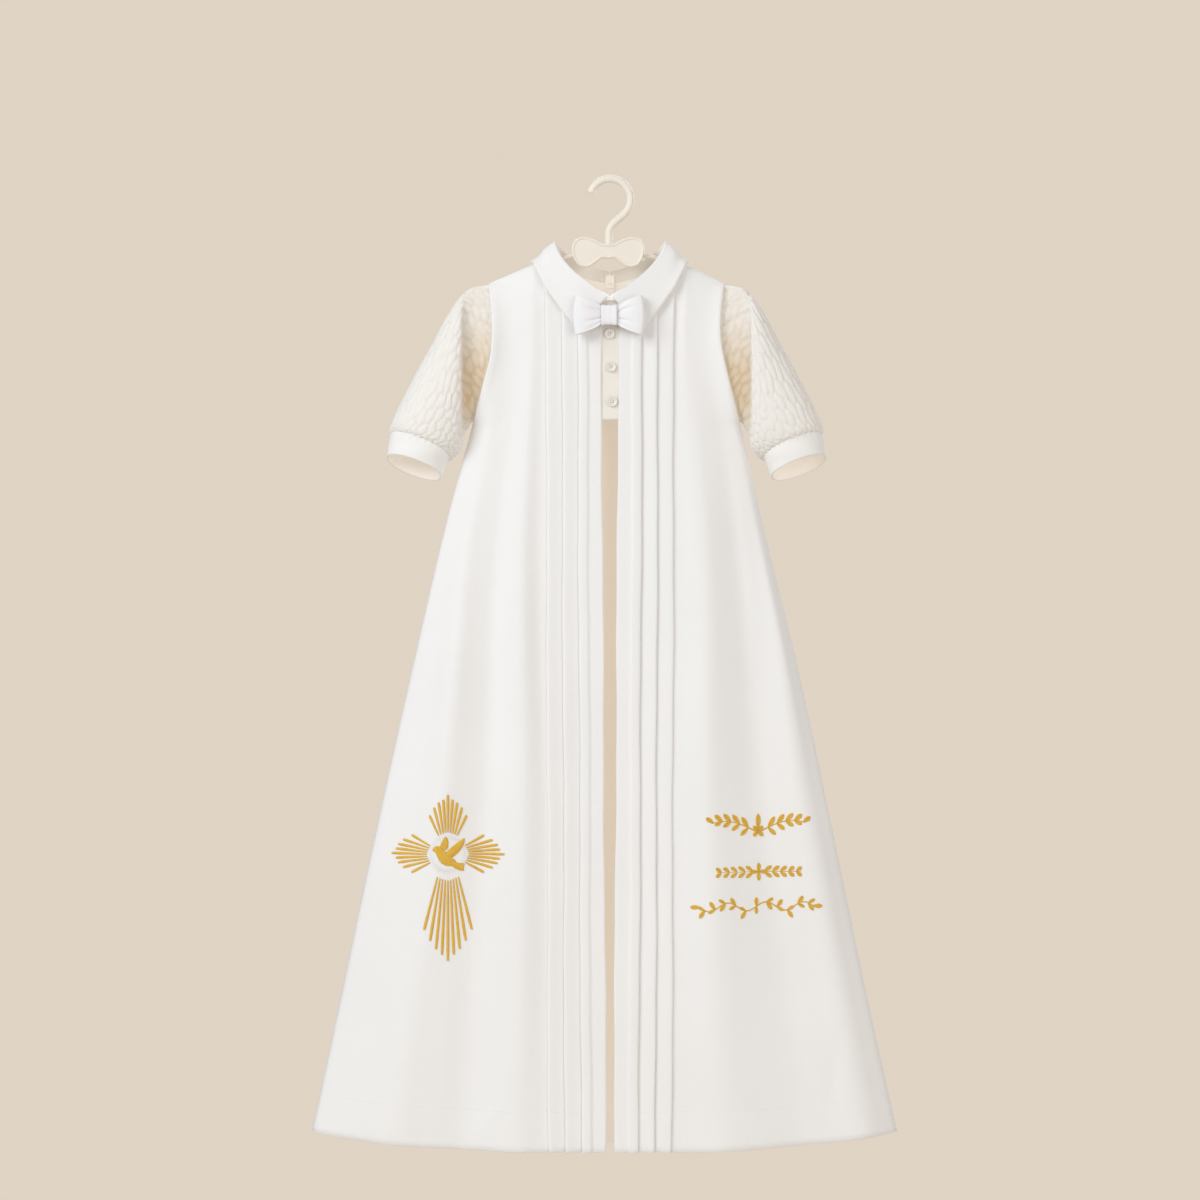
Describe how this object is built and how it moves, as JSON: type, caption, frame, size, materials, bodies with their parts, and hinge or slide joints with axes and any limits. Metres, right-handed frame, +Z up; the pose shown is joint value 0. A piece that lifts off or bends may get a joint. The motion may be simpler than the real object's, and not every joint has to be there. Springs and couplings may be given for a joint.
{
  "type": "christening gown on a child's hanger",
  "caption": "White open-front christening gown with knife tucks, smocked sleeves, flat collar and bow tie, hung on a small plastic hanger by its hook.",
  "frame": {"origin": "the inner top of the hanger's hook, where it rests on a rail", "axes": "+Z up, the front of the gown faces -Y, +X to the right as seen from the front"},
  "size_m": [0.5905, 0.0803, 0.9793],
  "materials": {
    "white_cotton": "matt white cotton",
    "cream_smocking": "matt cream smocked cotton",
    "ivory_cotton": "matt ivory cotton",
    "cuff_cotton": "matt white cotton",
    "white_satin": "soft satin",
    "pearl_button": "polished",
    "ivory_plastic": "semi-gloss moulded"
  },
  "bodies": {
    "root": {"back_panel": "white_cotton", "front_left": "white_cotton", "front_right": "white_cotton", "collar_left": "white_cotton", "collar_right": "white_cotton", "sleeve_left": "cream_smocking", "sleeve_right": "cream_smocking", "cuff_left": "cuff_cotton", "cuff_right": "cuff_cotton", "front_placket": "ivory_cotton", "back_placket": "ivory_cotton", "neck_tab": "ivory_cotton", "button_1": "pearl_button", "button_2": "pearl_button", "button_3": "pearl_button", "bow_knot": "white_satin", "bow_wing_left": "white_satin", "bow_wing_right": "white_satin", "hanger_frame": "ivory_plastic", "hanger_bow": "ivory_plastic"}
  },
  "joints": []
}
